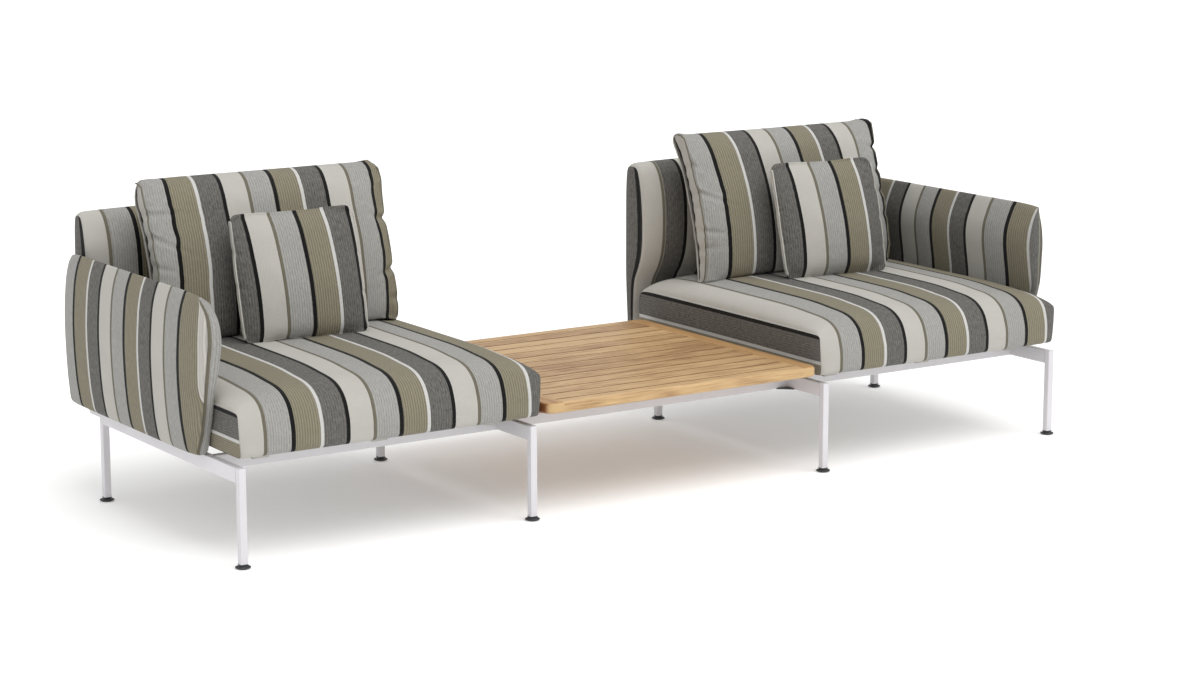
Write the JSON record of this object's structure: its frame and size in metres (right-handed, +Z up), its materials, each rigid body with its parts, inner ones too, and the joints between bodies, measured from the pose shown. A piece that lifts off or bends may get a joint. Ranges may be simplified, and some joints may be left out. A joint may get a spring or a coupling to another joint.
{
  "type": "companion seat bench",
  "caption": "Long upholstered bench with two boxed seats, loose back cushions, outer arms and a slatted wooden table between the seats, on a square-tube frame with levelling glides",
  "frame": {"origin": "middle of the footprint, on the floor", "axes": "+X along the bench from the left seat to the right seat as seen from the front, +Y from the front of the seats to their backs, +Z up"},
  "size_m": [2.833, 0.9787, 0.8826],
  "materials": {
    "frame_paint": "satin off-white powder coat",
    "gusset_paint": "matt dark powder coat",
    "glide_plastic": "matt dark grey",
    "insert_plastic": "matt black",
    "striped_fabric": "ribbed outdoor weave in stripes of grey, olive, charcoal, black, white and cream",
    "table_wood": "oiled reddish hardwood",
    "platform_wood": "bare plywood and softwood",
    "core_wood": "bare softwood",
    "bracket_steel": "matt black"
  },
  "bodies": {
    "bench": {"arm_brackets_left": "bracket_steel", "arm_brackets_right": "bracket_steel", "arm_frame_left": "core_wood", "arm_frame_right": "core_wood", "arm_panel_left": "striped_fabric", "arm_panel_right": "striped_fabric", "back_brackets_left": "bracket_steel", "back_brackets_right": "bracket_steel", "back_frame_left": "core_wood", "back_frame_right": "core_wood", "back_panel_left": "striped_fabric", "back_panel_right": "striped_fabric", "corner_gussets": "gusset_paint", "crossbeam_1": "frame_paint", "crossbeam_2": "frame_paint", "crossbeam_3": "frame_paint", "crossbeam_4": "frame_paint", "front_leg_1": "frame_paint", "front_leg_2": "frame_paint", "front_leg_3": "frame_paint", "front_leg_4": "frame_paint", "front_rail_left": "frame_paint", "front_rail_right": "frame_paint", "front_rail_table": "frame_paint", "leg_inserts": "insert_plastic", "rear_leg_1": "frame_paint", "rear_leg_2": "frame_paint", "rear_leg_3": "frame_paint", "rear_leg_4": "frame_paint", "rear_rail_left": "frame_paint", "rear_rail_right": "frame_paint", "rear_rail_table": "frame_paint", "seat_bearers_left": "platform_wood", "seat_bearers_right": "platform_wood", "seat_board_left": "platform_wood", "seat_board_right": "platform_wood", "seat_cushion_left": "striped_fabric", "seat_cushion_right": "striped_fabric", "table_battens": "table_wood", "table_end_rail_left": "table_wood", "table_end_rail_right": "table_wood", "table_slats": "table_wood"},
    "glide_front_1": {"glide_front_1": "glide_plastic"},
    "glide_front_2": {"glide_front_2": "glide_plastic"},
    "glide_front_3": {"glide_front_3": "glide_plastic"},
    "glide_front_4": {"glide_front_4": "glide_plastic"},
    "glide_rear_1": {"glide_rear_1": "glide_plastic"},
    "glide_rear_2": {"glide_rear_2": "glide_plastic"},
    "glide_rear_3": {"glide_rear_3": "glide_plastic"},
    "glide_rear_4": {"glide_rear_4": "glide_plastic"},
    "back_cushion_left": {"back_cushion_left": "striped_fabric"},
    "back_cushion_right": {"back_cushion_right": "striped_fabric"},
    "lumbar_pillow_left": {"lumbar_pillow_left": "striped_fabric"},
    "lumbar_pillow_right": {"lumbar_pillow_right": "striped_fabric"}
  },
  "joints": [
    {"name": "screw_front_1", "type": "slide", "parent": "bench", "child": "glide_front_1", "axis": [0, 0, -1], "range_m": [0, 0.012]},
    {"name": "screw_front_2", "type": "slide", "parent": "bench", "child": "glide_front_2", "axis": [0, 0, -1], "range_m": [0, 0.012]},
    {"name": "screw_front_3", "type": "slide", "parent": "bench", "child": "glide_front_3", "axis": [0, 0, -1], "range_m": [0, 0.012]},
    {"name": "screw_front_4", "type": "slide", "parent": "bench", "child": "glide_front_4", "axis": [0, 0, -1], "range_m": [0, 0.012]},
    {"name": "screw_rear_1", "type": "slide", "parent": "bench", "child": "glide_rear_1", "axis": [0, 0, -1], "range_m": [0, 0.012]},
    {"name": "screw_rear_2", "type": "slide", "parent": "bench", "child": "glide_rear_2", "axis": [0, 0, -1], "range_m": [0, 0.012]},
    {"name": "screw_rear_3", "type": "slide", "parent": "bench", "child": "glide_rear_3", "axis": [0, 0, -1], "range_m": [0, 0.012]},
    {"name": "screw_rear_4", "type": "slide", "parent": "bench", "child": "glide_rear_4", "axis": [0, 0, -1], "range_m": [0, 0.012]},
    {"name": "back_cushion_left_lift", "type": "slide", "parent": "bench", "child": "back_cushion_left", "axis": [0, 0.1736, 0.9848], "range_m": [0, 0.45]},
    {"name": "back_cushion_right_lift", "type": "slide", "parent": "bench", "child": "back_cushion_right", "axis": [0, 0.1736, 0.9848], "range_m": [0, 0.45]},
    {"name": "lumbar_pillow_left_lift", "type": "slide", "parent": "bench", "child": "lumbar_pillow_left", "axis": [0, 0, 1], "range_m": [0, 0.4]},
    {"name": "lumbar_pillow_right_lift", "type": "slide", "parent": "bench", "child": "lumbar_pillow_right", "axis": [0, 0, 1], "range_m": [0, 0.4]}
  ]
}
